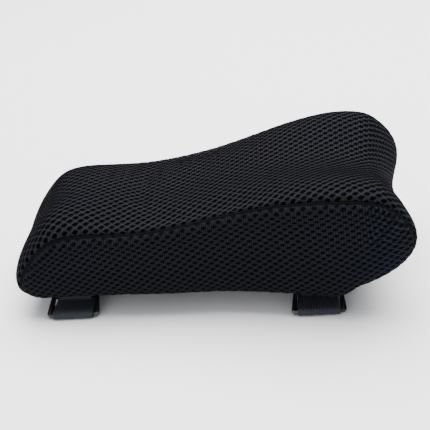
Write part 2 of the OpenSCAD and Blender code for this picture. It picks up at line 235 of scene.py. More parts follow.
# ---------------------------------------------------------------------------
# The open net of the air mesh
# ---------------------------------------------------------------------------
# One hole's cell is a six-sided piece of net: crown of the threads, rim, wall and floor.
# The places are shares of the pitch along a row and of the distance between rows, and they
# lean a little, because the knitted threads pull more one way than the other.
LEAN = 0.18
CROWN_RING = ((0.3876, LEAN), (0.1124, 1 - LEAN), (-0.1124, 1 + LEAN),
              (-0.3876, -LEAN), (-0.1124, LEAN - 1), (0.1124, -1 - LEAN))
RIM_RING = ((0.34, 0.15), (0.14, 0.52), (-0.10, 0.47),
            (-0.34, -0.15), (-0.14, -0.52), (0.10, -0.47))
FLOOR_RING = ((0.30, 0.12), (0.12, 0.40), (-0.08, 0.36),
              (-0.30, -0.12), (-0.12, -0.40), (0.08, -0.36))
RING_DEPTH = (0.0, 0.2 * MM, HOLE_DEEP)
# How far into the hole each ring lies (crown, rim, floor): the mask for the painted shade in the
# holes.
RING_HOLE = (0.0, 0.4, 1.0)


def join_cells(work):
    """Joins the cells where they meet, and removes what the edge squashed to nothing."""
    bmesh.ops.remove_doubles(work, verts=work.verts, dist=0.03 * MM)
    bmesh.ops.dissolve_degenerate(work, edges=work.edges, dist=0.02 * MM)
    loose = [vert for vert in work.verts if not vert.link_faces]
    bmesh.ops.delete(work, geom=loose, context="VERTS")


def lay_net(name, surface, edge_distance, clamp, low, high, knit, turn, outward, material):
    """A panel of net over the cloth coordinates from low to high. clamp pulls points that
    lie outside the cut onto its edge, and edge_distance says how far inside it they are."""
    along, row, openness = knit
    reach = max(high[0] - low[0], high[1] - low[1])
    mid = ((low[0] + high[0]) / 2, (low[1] + high[1]) / 2)
    i = np.arange(-int(reach / along) - 2, int(reach / along) + 3)
    j = np.arange(-int(reach / row) - 2, int(reach / row) + 3)
    gi, gj = np.meshgrid(i, j, indexing="ij")
    centre = np.stack([(gi + (gj % 2) / 2).ravel() * along, gj.ravel() * row], 1)
    c, s = math.cos(turn), math.sin(turn)
    spin = np.array([[c, s], [-s, c]])
    middle = centre @ spin + mid
    margin = 2.5 * MM
    kept = ((middle[:, 0] > low[0] - margin) & (middle[:, 0] < high[0] + margin)
            & (middle[:, 1] > low[1] - margin) & (middle[:, 1] < high[1] + margin))
    centre, middle = centre[kept], middle[kept]
    kept = edge_distance(middle[:, 0], middle[:, 1]) > -1.9 * MM
    centre = centre[kept]
    rings = [np.array(ring) * (along * share, row * share) for ring, share in
             ((CROWN_RING, 1), (RIM_RING, openness), (FLOOR_RING, openness))]
    points = np.concatenate([(centre[:, None] + ring[None]).reshape(-1, 2) for ring in rings])
    count = len(centre)
    depth = np.repeat(RING_DEPTH, count * 6)
    hole = np.repeat(RING_HOLE, count * 6)
    crowns = count * 6
    keys = np.round(points[:crowns] / (0.01 * MM)).astype(np.int64)
    _, first, same = np.unique(keys, axis=0, return_index=True, return_inverse=True)
    same = same.reshape(-1)
    number = np.concatenate([same, len(first) + np.arange(2 * crowns)])
    keep = np.concatenate([first, np.arange(crowns, 3 * crowns)])
    points, depth, hole = points[keep] @ spin + mid, depth[keep], hole[keep]
    number = number.reshape(3, count, 6)
    faces = []
    for a in range(6):
        b = (a + 1) % 6
        for upper, lower in ((0, 1), (1, 2)):
            faces.append(np.stack([number[upper, :, a], number[upper, :, b],
                                   number[lower, :, b], number[lower, :, a]], 1))
    for corners in ((0, 1, 2, 3), (0, 3, 4, 5)):
        faces.append(number[2][:, corners])
    faces = np.concatenate(faces)
    u, v = clamp(points[:, 0].copy(), points[:, 1].copy())
    near = np.maximum(edge_distance(u, v), 0)
    sink = depth * (0.2 + 0.8 * eased(near, 1 * MM, 9 * MM))
    hole = hole * eased(near, 0.2 * MM, 1.4 * MM)
    step = 0.4 * MM
    place = surface(u, v)
    across = np.cross(surface(u + step, v) - surface(u - step, v),
                      surface(u, v + step) - surface(u, v - step))
    across /= np.maximum(np.linalg.norm(across, axis=1), 1e-12)[:, None]
    across *= outward
    lump = np.array([noise.noise(Vector(p) * LUMP_FREQUENCY) for p in place])
    sink -= LUMP * lump * eased(near, 1 * MM, 8 * MM)
    place = place - across * sink[:, None]
    if outward < 0:
        faces = faces[:, ::-1]
    mesh = bpy.data.meshes.new(name)
    mesh.from_pydata(place.tolist(), [], faces.tolist())
    # The hole mask carries the painted shade down in the holes to the material.
    mark = mesh.attributes.new("hole", "FLOAT", "POINT")
    mark.data.foreach_set("value", hole.astype(np.float32))
    cloth = mesh.attributes.new("cloth", "FLOAT_VECTOR", "POINT")
    cloth.data.foreach_set("vector", np.stack([u, v, near], 1).astype(np.float32).ravel())
    cleaned(mesh, join_cells)
    mesh.shade_smooth()
    mesh.materials.append(material)
    return placed(name, mesh)


# ---------------------------------------------------------------------------
# Materials
# ---------------------------------------------------------------------------
def spread(columns):
    """Sets the places of a tree's nodes, column by column from left to right."""
    for across, column in enumerate(columns):
        for down, one in enumerate(column):
            one.location = (across * 230 - 900, 300 - down * 260)


def bare_material(name):
    """A new material without nodes, with its tree's nodes and links."""
    made = bpy.data.materials.new(name)
    made.use_nodes = True
    tree = made.node_tree
    tree.nodes.clear()
    return made, tree.nodes, tree.links


def net_cloth(name, thread, shade, hole_shadow_colour, rim, sheen):
    """Spacer mesh: knitted threads with a soft sheen, and painted shade dark down in the holes."""
    made, nodes, links = bare_material(name)

    place = nodes.new("ShaderNodeTexCoord")
    place.label = "Place on the pad"
    ends = nodes.new("ShaderNodeSeparateXYZ")
    ends.label = "Along the pad"
    away = nodes.new("ShaderNodeMath")
    away.label = "Distance from the middle"
    away.operation = "ABSOLUTE"
    # The colour turns blue-black towards both ends of the pad, in cloudy patches.
    bluer = nodes.new("ShaderNodeMapRange")
    bluer.label = "Bluer towards both ends"
    bluer.interpolation_type = "SMOOTHSTEP"
    bluer.inputs["From Min"].default_value = 45 * MM
    bluer.inputs["From Max"].default_value = 115 * MM
    patch = nodes.new("ShaderNodeMapRange")
    patch.label = "In cloudy patches"
    patch.inputs["From Min"].default_value = 0.35
    patch.inputs["From Max"].default_value = 0.7
    navy = nodes.new("ShaderNodeMath")
    navy.label = "Blue-black patches"
    navy.operation = "MULTIPLY"
    seam = nodes.new("ShaderNodeSeparateXYZ")
    seam.label = "Distance from the seam"
    crease = nodes.new("ShaderNodeMapRange")
    crease.label = "Shadow in the crease"
    crease.interpolation_type = "SMOOTHSTEP"
    crease.inputs["From Min"].default_value = 0.1 * MM
    crease.inputs["From Max"].default_value = 1.5 * MM
    crease.inputs["To Min"].default_value = 0.05
    folded = nodes.new("ShaderNodeMix")
    folded.label = "Darker in the crease"
    folded.data_type = "RGBA"
    folded.blend_type = "MULTIPLY"
    folded.inputs["Factor"].default_value = 1.0
    hole = nodes.new("ShaderNodeAttribute")
    hole.label = "How deep in a hole"
    hole.attribute_name = "hole"
    cloth = nodes.new("ShaderNodeAttribute")
    cloth.label = "Place on the cloth"
    cloth.attribute_name = "cloth"

    uneven = nodes.new("ShaderNodeTexNoise")
    uneven.label = "Cloudy patches of tint"
    uneven.inputs["Scale"].default_value = 26.0
    uneven.inputs["Detail"].default_value = 3.0
    fuzz = nodes.new("ShaderNodeTexNoise")
    fuzz.label = "Yarn fuzz"
    fuzz.inputs["Scale"].default_value = 2600.0
    fuzz.inputs["Detail"].default_value = 4.0
    twist = nodes.new("ShaderNodeTexWave")
    twist.label = "Twist of the yarn"
    twist.wave_type = "BANDS"
    twist.bands_direction = "DIAGONAL"
    twist.inputs["Scale"].default_value = 420.0
    twist.inputs["Distortion"].default_value = 3.0
    twist.inputs["Detail"].default_value = 2.0

    tone = nodes.new("ShaderNodeMix")
    tone.label = "Black to blue-black"
    tone.data_type = "RGBA"
    tone.inputs["A"].default_value = (*thread, 1)
    tone.inputs["B"].default_value = (*shade, 1)
    # Partly the yarn's own twist, partly painted highlight and shade: the colour is lighter where
    # the twist's relief stands up and darker where it dips.
    glint = nodes.new("ShaderNodeMix")
    glint.label = "Lighter filaments"
    glint.data_type = "RGBA"
    glint.blend_type = "MULTIPLY"
    glint.inputs["Factor"].default_value = 0.75
    twist_pattern_and_highlight = nodes.new("ShaderNodeValToRGB")
    twist_pattern_and_highlight.label = "Filament contrast"
    twist_pattern_and_highlight.color_ramp.elements[0].position = 0.3
    twist_pattern_and_highlight.color_ramp.elements[0].color = (0.45, 0.45, 0.47, 1)
    twist_pattern_and_highlight.color_ramp.elements[1].position = 0.72
    twist_pattern_and_highlight.color_ramp.elements[1].color = (1.35, 1.35, 1.4, 1)
    # Painted shade: deeper in each hole the colour falls off to the near-black hole colour,
    # standing in for the shade inside the net.
    down = nodes.new("ShaderNodeValToRGB")
    down.label = "Fall-off into the hole"
    down.color_ramp.elements[0].position = 0.1
    down.color_ramp.elements[0].color = (0, 0, 0, 1)
    down.color_ramp.elements[1].position = rim
    down.color_ramp.elements[1].color = (1, 1, 1, 1)
    dark = nodes.new("ShaderNodeMix")
    dark.label = "Dark holes"
    dark.data_type = "RGBA"
    dark.inputs["B"].default_value = (*hole_shadow_colour, 1)

    height = nodes.new("ShaderNodeMath")
    height.label = "Fuzz and twist together"
    height.operation = "ADD"
    raised = nodes.new("ShaderNodeBump")
    raised.label = "Relief of the yarn"
    raised.inputs["Strength"].default_value = 0.55
    raised.inputs["Distance"].default_value = 0.00035
    gloss = nodes.new("ShaderNodeMapRange")
    gloss.label = "Worn and fresh yarn"
    gloss.inputs["To Min"].default_value = 0.5
    gloss.inputs["To Max"].default_value = 0.78

    skin = nodes.new("ShaderNodeBsdfPrincipled")
    skin.label = "Polyester mesh"
    skin.inputs["Specular IOR Level"].default_value = 0.012
    skin.inputs["Sheen Weight"].default_value = sheen
    skin.inputs["Sheen Roughness"].default_value = 0.45
    skin.inputs["Sheen Tint"].default_value = (0.82, 0.86, 1.0, 1)
    out = nodes.new("ShaderNodeOutputMaterial")
    out.label = "Surface"

    links.new(place.outputs["Object"], uneven.inputs["Vector"])
    links.new(place.outputs["Object"], fuzz.inputs["Vector"])
    links.new(cloth.outputs["Vector"], twist.inputs["Vector"])
    links.new(place.outputs["Object"], ends.inputs["Vector"])
    links.new(ends.outputs["X"], away.inputs[0])
    links.new(away.outputs["Value"], bluer.inputs["Value"])
    links.new(uneven.outputs["Fac"], patch.inputs["Value"])
    links.new(bluer.outputs["Result"], navy.inputs[0])
    links.new(patch.outputs["Result"], navy.inputs[1])
    links.new(navy.outputs["Value"], tone.inputs["Factor"])
    links.new(cloth.outputs["Vector"], seam.inputs["Vector"])
    links.new(seam.outputs["Z"], crease.inputs["Value"])
    links.new(tone.outputs["Result"], glint.inputs["A"])
    links.new(twist.outputs["Fac"], twist_pattern_and_highlight.inputs["Fac"])
    links.new(twist_pattern_and_highlight.outputs["Color"], glint.inputs["B"])
    links.new(glint.outputs["Result"], dark.inputs["A"])
    links.new(hole.outputs["Fac"], down.inputs["Fac"])
    links.new(down.outputs["Color"], dark.inputs["Factor"])
    links.new(dark.outputs["Result"], folded.inputs["A"])
    links.new(crease.outputs["Result"], folded.inputs["B"])
    links.new(folded.outputs["Result"], skin.inputs["Base Color"])
    links.new(fuzz.outputs["Fac"], height.inputs[0])
    links.new(twist.outputs["Fac"], height.inputs[1])
    links.new(height.outputs["Value"], raised.inputs["Height"])
    links.new(raised.outputs["Normal"], skin.inputs["Normal"])
    links.new(fuzz.outputs["Fac"], gloss.inputs["Value"])
    links.new(gloss.outputs["Result"], skin.inputs["Roughness"])
    links.new(skin.outputs["BSDF"], out.inputs["Surface"])

    spread([[place, hole, cloth], [ends, uneven, fuzz, twist, seam], [away, patch, crease],
            [bluer, twist_pattern_and_highlight, down], [navy, height, gloss], [tone, raised], [glint], [dark],
            [folded], [skin], [out]])
    for effect, members in (
            ("Colour of the mesh, painted hole shade and yarn highlights", (twist_pattern_and_highlight, glint, down, dark, hole)),
            ("Blue-black tint towards the ends", (uneven, ends, away, bluer, patch, navy, tone)),
            ("Crease along the seams", (seam, crease, folded)),
            ("Feel of the yarn", (fuzz, twist, height, raised, gloss))):
        group = nodes.new("NodeFrame")
        group.label = effect
        for one in members:
            one.parent = group
    return made


def woven_band(name, thread, light, rib_pitch, sheen):
    """Webbing and tape: lengthwise ribs crossed by fine picks, from the cloth attribute."""
    made, nodes, links = bare_material(name)

    cloth = nodes.new("ShaderNodeAttribute")
    cloth.label = "Across and along the band"
    cloth.attribute_name = "cloth"
    place = nodes.new("ShaderNodeTexCoord")
    place.label = "Place on the pad"
    ribs = nodes.new("ShaderNodeTexWave")
    ribs.label = "Lengthwise ribs"
    ribs.wave_type = "BANDS"
    ribs.bands_direction = "X"
    ribs.inputs["Scale"].default_value = math.pi / 10 / rib_pitch
    ribs.inputs["Distortion"].default_value = 0.4
    picks = nodes.new("ShaderNodeTexWave")
    picks.label = "Crosswise picks"
    picks.wave_type = "BANDS"
    picks.bands_direction = "Y"
    picks.inputs["Scale"].default_value = math.pi / 10 / (0.75 * MM)
    picks.inputs["Distortion"].default_value = 1.2
    fuzz = nodes.new("ShaderNodeTexNoise")
    fuzz.label = "Loose filaments"
    fuzz.inputs["Scale"].default_value = 2200.0
    fuzz.inputs["Detail"].default_value = 4.0
    worn = nodes.new("ShaderNodeTexNoise")
    worn.label = "Handling marks"
    worn.inputs["Scale"].default_value = 140.0
    weave = nodes.new("ShaderNodeMath")
    weave.label = "Ribs over picks"
    weave.operation = "MULTIPLY_ADD"
    weave.inputs[1].default_value = 0.55
    # Painted shade: the colour is darkened between the ribs and under the picks, where the weave's
    # relief is low; the rib tops take the lighter colour.
    shade = nodes.new("ShaderNodeValToRGB")
    shade.label = "Dark between the ribs"
    shade.color_ramp.elements[0].position = 0.15
    shade.color_ramp.elements[0].color = (*[0.35 * c for c in thread], 1)
    shade.color_ramp.elements[1].position = 0.95
    shade.color_ramp.elements[1].color = (*light, 1)
    rub = nodes.new("ShaderNodeMix")
    rub.label = "Rubbed patches"
    rub.data_type = "RGBA"
    rub.inputs["B"].default_value = (*[1.25 * c for c in light], 1)
    little = nodes.new("ShaderNodeMath")
    little.label = "Only a little rubbed"
    little.operation = "MULTIPLY"
    little.inputs[1].default_value = 0.35
    rough_height = nodes.new("ShaderNodeMath")
    rough_height.label = "Filaments on the weave"
    rough_height.operation = "MULTIPLY_ADD"
    rough_height.inputs[1].default_value = 0.35
    raised = nodes.new("ShaderNodeBump")
    raised.label = "Relief of the weave"
    raised.inputs["Strength"].default_value = 0.8
    raised.inputs["Distance"].default_value = 0.0003
    skin = nodes.new("ShaderNodeBsdfPrincipled")
    skin.label = "Polyester band"
    skin.inputs["Roughness"].default_value = 0.62
    skin.inputs["Specular IOR Level"].default_value = 0.2
    skin.inputs["Sheen Weight"].default_value = sheen
    skin.inputs["Sheen Roughness"].default_value = 0.4
    out = nodes.new("ShaderNodeOutputMaterial")
    out.label = "Surface"

    links.new(cloth.outputs["Vector"], ribs.inputs["Vector"])
    links.new(cloth.outputs["Vector"], picks.inputs["Vector"])
    links.new(place.outputs["Object"], fuzz.inputs["Vector"])
    links.new(place.outputs["Object"], worn.inputs["Vector"])
    links.new(picks.outputs["Fac"], weave.inputs[0])
    links.new(ribs.outputs["Fac"], weave.inputs[2])
    links.new(weave.outputs["Value"], shade.inputs["Fac"])
    links.new(worn.outputs["Fac"], little.inputs[0])
    links.new(little.outputs["Value"], rub.inputs["Factor"])
    links.new(shade.outputs["Color"], rub.inputs["A"])
    links.new(rub.outputs["Result"], skin.inputs["Base Color"])
    links.new(fuzz.outputs["Fac"], rough_height.inputs[0])
    links.new(weave.outputs["Value"], rough_height.inputs[2])
    links.new(rough_height.outputs["Value"], raised.inputs["Height"])
    links.new(raised.outputs["Normal"], skin.inputs["Normal"])
    links.new(skin.outputs["BSDF"], out.inputs["Surface"])

    spread([[cloth, place], [ribs, picks, fuzz, worn], [weave, little],
            [shade, rough_height], [rub, raised], [skin], [out]])
    for effect, members in (
            ("Colour of the band and painted shade between ribs", (shade, rub, worn, little)),
            ("Weave and relief", (ribs, picks, fuzz, weave, rough_height, raised))):
        group = nodes.new("NodeFrame")
        group.label = effect
        for one in members:
            one.parent = group
    return made


def hard_finish(name, colour, rough_low, rough_high, coat, metallic, grain):
    """Moulded or painted hardware: near-black, faintly marked, with rubbed high spots."""
    made, nodes, links = bare_material(name)

    place = nodes.new("ShaderNodeTexCoord")
    place.label = "Place on the pad"
    marks = nodes.new("ShaderNodeTexNoise")
    marks.label = "Fine scuffs"
    marks.inputs["Scale"].default_value = grain
    marks.inputs["Detail"].default_value = 5.0
    cloudy = nodes.new("ShaderNodeTexNoise")
    cloudy.label = "Uneven polish"
    cloudy.inputs["Scale"].default_value = grain / 12
    rubbed = nodes.new("ShaderNodeNewGeometry")
    rubbed.label = "High spots"
    edge = nodes.new("ShaderNodeValToRGB")
    edge.label = "Only the sharpest edges"
    edge.color_ramp.elements[0].position = 0.53
    edge.color_ramp.elements[0].color = (0, 0, 0, 1)
    edge.color_ramp.elements[1].position = 0.62
    edge.color_ramp.elements[1].color = (0.5, 0.5, 0.5, 1)
    tone = nodes.new("ShaderNodeMix")
    tone.label = "Wear on the edges"
    tone.data_type = "RGBA"
    tone.inputs["A"].default_value = (*colour, 1)
    tone.inputs["B"].default_value = (*[3.2 * c + 0.02 for c in colour], 1)
    polish = nodes.new("ShaderNodeMapRange")
    polish.label = "Gloss from place to place"
    polish.inputs["To Min"].default_value = rough_low
    polish.inputs["To Max"].default_value = rough_high
    raised = nodes.new("ShaderNodeBump")
    raised.label = "Shallow scuffs"
    raised.inputs["Strength"].default_value = 0.12
    raised.inputs["Distance"].default_value = 0.0001
    skin = nodes.new("ShaderNodeBsdfPrincipled")
    skin.label = "Hard surface"
    skin.inputs["Metallic"].default_value = metallic
    skin.inputs["Coat Weight"].default_value = coat
    skin.inputs["Coat Roughness"].default_value = 0.12
    out = nodes.new("ShaderNodeOutputMaterial")
    out.label = "Surface"

    links.new(place.outputs["Object"], marks.inputs["Vector"])
    links.new(place.outputs["Object"], cloudy.inputs["Vector"])
    links.new(rubbed.outputs["Pointiness"], edge.inputs["Fac"])
    links.new(edge.outputs["Color"], tone.inputs["Factor"])
    links.new(tone.outputs["Result"], skin.inputs["Base Color"])
    links.new(cloudy.outputs["Fac"], polish.inputs["Value"])
    links.new(polish.outputs["Result"], skin.inputs["Roughness"])
    links.new(marks.outputs["Fac"], raised.inputs["Height"])
    links.new(raised.outputs["Normal"], skin.inputs["Normal"])
    links.new(skin.outputs["BSDF"], out.inputs["Surface"])

    spread([[place, rubbed], [marks, cloudy, edge], [tone, polish, raised], [skin], [out]])
    for effect, members in (
            ("Wear", (rubbed, edge, tone)),
            ("Polish and scuffs", (marks, cloudy, polish, raised))):
        group = nodes.new("NodeFrame")
        group.label = effect
        for one in members:
            one.parent = group
    return made


def fibre_pile(name, dark, light, scale, bump, sheen):
    """Fibrous and porous surfaces: touch fastener, seams, sewing thread and open foam."""
    made, nodes, links = bare_material(name)

    place = nodes.new("ShaderNodeTexCoord")
    place.label = "Place on the pad"
    tufts = nodes.new("ShaderNodeTexVoronoi")
    tufts.label = "Tufts"
    tufts.inputs["Scale"].default_value = scale
    hairs = nodes.new("ShaderNodeTexNoise")
    hairs.label = "Stray hairs"
    hairs.inputs["Scale"].default_value = scale * 2.5
    hairs.inputs["Detail"].default_value = 5.0
    mixed = nodes.new("ShaderNodeMath")
    mixed.label = "Hairs over tufts"
    mixed.operation = "MULTIPLY"
    # Painted shade: the pile is coloured darker where its relief is low, among the roots and in the
    # foam's pores, and lighter on the raised tips.
    tone = nodes.new("ShaderNodeValToRGB")
    tone.label = "Dark roots, lighter tips"
    tone.color_ramp.elements[0].position = 0.05
    tone.color_ramp.elements[0].color = (*dark, 1)
    tone.color_ramp.elements[1].position = 0.45
    tone.color_ramp.elements[1].color = (*light, 1)
    raised = nodes.new("ShaderNodeBump")
    raised.label = "Height of the pile"
    raised.inputs["Strength"].default_value = bump
    raised.inputs["Distance"].default_value = 0.0004
    skin = nodes.new("ShaderNodeBsdfPrincipled")
    skin.label = "Fibre"
    skin.inputs["Roughness"].default_value = 0.85
    skin.inputs["Specular IOR Level"].default_value = 0.1
    skin.inputs["Sheen Weight"].default_value = sheen
    out = nodes.new("ShaderNodeOutputMaterial")
    out.label = "Surface"

    links.new(place.outputs["Object"], tufts.inputs["Vector"])
    links.new(place.outputs["Object"], hairs.inputs["Vector"])
    links.new(tufts.outputs["Distance"], mixed.inputs[0])
    links.new(hairs.outputs["Fac"], mixed.inputs[1])
    links.new(mixed.outputs["Value"], tone.inputs["Fac"])
    links.new(tone.outputs["Color"], skin.inputs["Base Color"])
    links.new(mixed.outputs["Value"], raised.inputs["Height"])
    links.new(raised.outputs["Normal"], skin.inputs["Normal"])
    links.new(skin.outputs["BSDF"], out.inputs["Surface"])

    spread([[place], [tufts, hairs], [mixed], [tone, raised], [skin], [out]])
    pile = nodes.new("NodeFrame")
    pile.label = "Pile"
    for one in (tufts, hairs, mixed, tone, raised):
        one.parent = pile
    return made


# Two copies of one black mesh. The top's threads are lighter as painted light where the light falls
# on top, and its holes get darker and wider painted shade; the copy for the sides and base is
# darker, as painted shade.
mesh_sides_shaded = net_cloth("black_air_mesh", (0.0116, 0.0121, 0.0146), (0.0094, 0.0118, 0.0212),
                       (0.0020, 0.0021, 0.0027), 0.8, 0.0)
mesh_top_lit = net_cloth("black_air_mesh_top_lit", (0.0168, 0.0174, 0.0204),
                      (0.0136, 0.0160, 0.0240), (0.0002, 0.0002, 0.0003), 0.62, 0.0)
# The sewn allowance in the seam's groove, coloured near black: partly its own black, partly painted
# shade in the groove.
shaded_seam_allowance = fibre_pile("seam_allowance", (0.0015, 0.0015, 0.002), (0.006, 0.006, 0.007), 1400,
                        0.6, 0.0)
webbing_cloth = woven_band("ribbed_elastic_webbing", (0.009, 0.010, 0.012),
                           (0.029, 0.034, 0.045), RIB_PITCH, 0.05)
tape_cloth = woven_band("zip_tape_twill", (0.006, 0.006, 0.007), (0.016, 0.016, 0.018),
                        0.6 * MM, 0.05)
ring_gloss = hard_finish("ring_black_gloss", (0.008, 0.008, 0.009), 0.16, 0.32, 0.25, 0.0, 900)
slider_paint = hard_finish("slider_black_paint", (0.012, 0.012, 0.013), 0.28, 0.45, 0.2, 0.6, 1500)
coil_nylon = hard_finish("coil_black_nylon", (0.014, 0.014, 0.016), 0.35, 0.5, 0.0, 0.0, 2500)
loop_pile = fibre_pile("loop_pile", (0.006, 0.006, 0.007), (0.035, 0.035, 0.04), 1500, 1.0, 0.1)
hook_pile = fibre_pile("hook_field", (0.004, 0.004, 0.005), (0.028, 0.028, 0.032), 1100, 0.9, 0.05)
thread_black = fibre_pile("sewing_thread", (0.008, 0.008, 0.009), (0.040, 0.040, 0.045), 3000,
                          0.4, 0.0)
# The seam's stitches: the same black thread as the sewing thread, painted darker as shade in the
# seam's groove.
groove_shaded_thread = fibre_pile("groove_shaded_thread", (0.002, 0.002, 0.002), (0.012, 0.012, 0.014), 3000,
                         0.4, 0.0)
foam_cells = fibre_pile("open_cell_foam", (0.42, 0.39, 0.33), (0.78, 0.74, 0.66), 1400, 0.6, 0.0)


# ---------------------------------------------------------------------------
# The padded body and its net cover
# ---------------------------------------------------------------------------
def plain_piece(name, points, faces, material):
    mesh = bpy.data.meshes.new(name)
    mesh.from_pydata([tuple(map(float, p)) for p in points], [],
                     [tuple(map(int, f)) for f in faces])
    mesh.materials.append(material)
    mesh.shade_smooth()
    return placed(name, mesh)


def seam_distance(points):
    """Distance of each point from the nearer seam, where the side panels begin."""
    w = half_width(points[:, 0])
    inside, _ = nearest_edge(points[:, 0], points[:, 2])
    return np.hypot(np.maximum(inside, 0), np.maximum(w - np.abs(points[:, 1]), 0))


def foam_blank():
    """A copy of the foam block cut into even cells: the start of the padded filling."""
    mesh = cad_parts["foam_core"].data.copy()
    cleaned(mesh, lambda work: bmesh.ops.remove_doubles(work, verts=work.verts, dist=0.01 * MM))
    blank = placed("pad_filling", mesh)
    bpy.context.view_layer.objects.active = blank
    blank.select_set(True)
    remesh = blank.modifiers.new("even_cells", "REMESH")
    remesh.mode = "VOXEL"
    remesh.voxel_size = FILLING_CELL
    bpy.ops.object.modifier_apply(modifier=remesh.name)
    return blank


def swell(blank):
    """Blows up the filling as cloth held along its seams, and returns the points it
    started from and how far each one moved."""
    start = np.array([v.co for v in blank.data.vertices])
    held = blank.vertex_groups.new(name="held")
    grip = 1 - eased(seam_distance(start), 4 * MM, 9 * MM)
    resting = eased(-start[:, 2], -(BASE_Z + 10 * MM), -(BASE_Z + 5 * MM))
    for number, hold in enumerate(np.maximum(grip, resting)):
        held.add([number], float(hold), "REPLACE")
    cloth = blank.modifiers.new("cover", "CLOTH")
    cloth.settings.quality = 6
    cloth.settings.mass = 0.25
    cloth.settings.tension_stiffness = 12
    cloth.settings.compression_stiffness = 12
    cloth.settings.bending_stiffness = 0.6
    cloth.settings.use_pressure = True
    cloth.settings.uniform_pressure_force = 4.0
    cloth.settings.effector_weights.gravity = 0.0
    cloth.settings.vertex_group_mass = "held"
    cloth.settings.pin_stiffness = 1.0
    scene = bpy.context.scene
    for step in range(1, FILLING_FRAMES + 1):
        scene.frame_set(step)
    graph = bpy.context.evaluated_depsgraph_get()
    blown = blank.evaluated_get(graph)
    end = np.array([v.co for v in blown.data.vertices])
    scene.frame_set(1)
    move = end - start
    length = np.linalg.norm(move, axis=1)
    move *= (np.minimum(length, MOST_SWELL) / np.maximum(length, 1e-9))[:, None]
    blank.modifiers.clear()
    blank.vertex_groups.clear()
    blank.data.vertices.foreach_set("co", (start + move).ravel())
    blank.data.update()
    return start, move


def swell_field(blank):
    start, move = swell(blank)
    tree = KDTree(len(start))
    for number, point in enumerate(start):
        tree.insert(point, number)
    tree.balance()
    return tree, move


def fill_out(piece, field):
    """Moves a panel's points as the blown-up cloth under them moved."""
    if field is None:
        return
    tree, move = field
    mesh = piece.data
    points = np.zeros(len(mesh.vertices) * 3)
    mesh.vertices.foreach_get("co", points)
    points = points.reshape(-1, 3)
    shift = np.zeros_like(points)
    for number, point in enumerate(points):
        found = tree.find_n(point, 8)
        share = np.array([1 / (gap + 2 * MM) ** 2 for _, _, gap in found])
        moved = move[[index for _, index, _ in found]]
        shift[number] = (moved * share[:, None]).sum(0) / share.sum()
    grip = eased(seam_distance(points), 1 * MM, 8 * MM)
    points += shift * grip[:, None]
    mesh.vertices.foreach_set("co", points.ravel())
    mesh.update()


filling = foam_blank()
field = swell_field(filling)
filling.data.materials.clear()
filling.data.materials.append(foam_cells)
filling.data.shade_smooth()
softened = filling.modifiers.new("softened", "SUBSURF")
softened.levels = softened.render_levels = 1
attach(filling, "pad")
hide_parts("foam_core")

STRIP_LEN = float(STRIP_S[-1])
WIDEST = float(half_width(np.array([0.15]))[0])
UNDER_X = (float(OUTLINE[BASE_LAST, 0]), float(OUTLINE[BASE_FIRST, 0]))


def strip_edge(s, y):
    w = half_width(np.interp(s, STRIP_S, STRIP[:, 0]))
    return np.minimum(w - np.abs(y), np.minimum(s, STRIP_LEN - s))


def strip_clamp(s, y):
    s = np.clip(s, 0, STRIP_LEN)
    w = half_width(np.interp(s, STRIP_S, STRIP[:, 0]))
    return s, np.clip(y, -w, w)


def side_edge(x, z):
    return nearest_edge(x, z)[0]


def side_clamp(x, z):
    d, found = nearest_edge(x, z)
    edge = OUTLINE[found]
    return np.where(d < 0, edge[:, 0], x), np.where(d < 0, edge[:, 1], z)


def slot_half(x):
    return np.where(np.abs(x) < ZIP_HALF_L + 1 * MM, ZIP_GAP / 2,
                    np.maximum(ZIP_GAP / 2 - 0.8 * (np.abs(x) - ZIP_HALF_L - 1 * MM), 0.05 * MM))


def base_edge(side):
    def distance(x, y):
        outer = half_width(x) - side * y
        inner = side * y - slot_half(x)
        return np.minimum(np.minimum(outer, inner), np.minimum(x - UNDER_X[0], UNDER_X[1] - x))
    return distance


def base_clamp(side):
    def clamp(x, y):
        x = np.clip(x, *UNDER_X)
        return x, side * np.clip(side * y, slot_half(x), half_width(x))
    return clamp


top = lay_net("cover_top", top_surface, strip_edge, strip_clamp, (0, -WIDEST),
              (STRIP_LEN, WIDEST), TOP_KNIT, 0.0, -1, mesh_top_lit)
low_corner = (float(OUTLINE[:, 0].min()), float(OUTLINE[:, 1].min()))
high_corner = (float(OUTLINE[:, 0].max()), float(OUTLINE[:, 1].max()))
left = lay_net("cover_left", lambda x, z: side_surface(x, z, -1), side_edge, side_clamp,
               low_corner, high_corner, SIDE_KNIT, SIDE_TURN, 1, mesh_sides_shaded)
right = lay_net("cover_right", lambda x, z: side_surface(x, z, 1), side_edge, side_clamp,
                low_corner, high_corner, SIDE_KNIT, SIDE_TURN, -1, mesh_sides_shaded)
base_left = lay_net("cover_base_left", base_surface, base_edge(-1), base_clamp(-1),
                    (UNDER_X[0], -WIDEST), (UNDER_X[1], 0), SIDE_KNIT, 0.0, -1, mesh_sides_shaded)
base_right = lay_net("cover_base_right", base_surface, base_edge(1), base_clamp(1),
                     (UNDER_X[0], 0), (UNDER_X[1], WIDEST), SIDE_KNIT, 0.0, -1, mesh_sides_shaded)

for panel, node in ((top, "top_strip"), (left, "left_side_panel"), (right, "right_side_panel"),
                    (base_left, "base_left_panel"), (base_right, "base_right_panel")):
    fill_out(panel, field)
    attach(panel, "pad")
    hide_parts(node)


# ---------------------------------------------------------------------------
# Tools for what repeats
# ---------------------------------------------------------------------------
def start_tree(name, sizes):
    """A node tree with a geometry input, the named sizes and a material."""
    tree = bpy.data.node_groups.new(name, "GeometryNodeTree")
    tree.interface.new_socket("Geometry", in_out="INPUT", socket_type="NodeSocketGeometry")
    for label, value in sizes:
        socket = tree.interface.new_socket(label, in_out="INPUT", socket_type="NodeSocketFloat")
        socket.default_value = value
    tree.interface.new_socket("Material", in_out="INPUT", socket_type="NodeSocketMaterial")
    tree.interface.new_socket("Geometry", in_out="OUTPUT", socket_type="NodeSocketGeometry")
    return tree


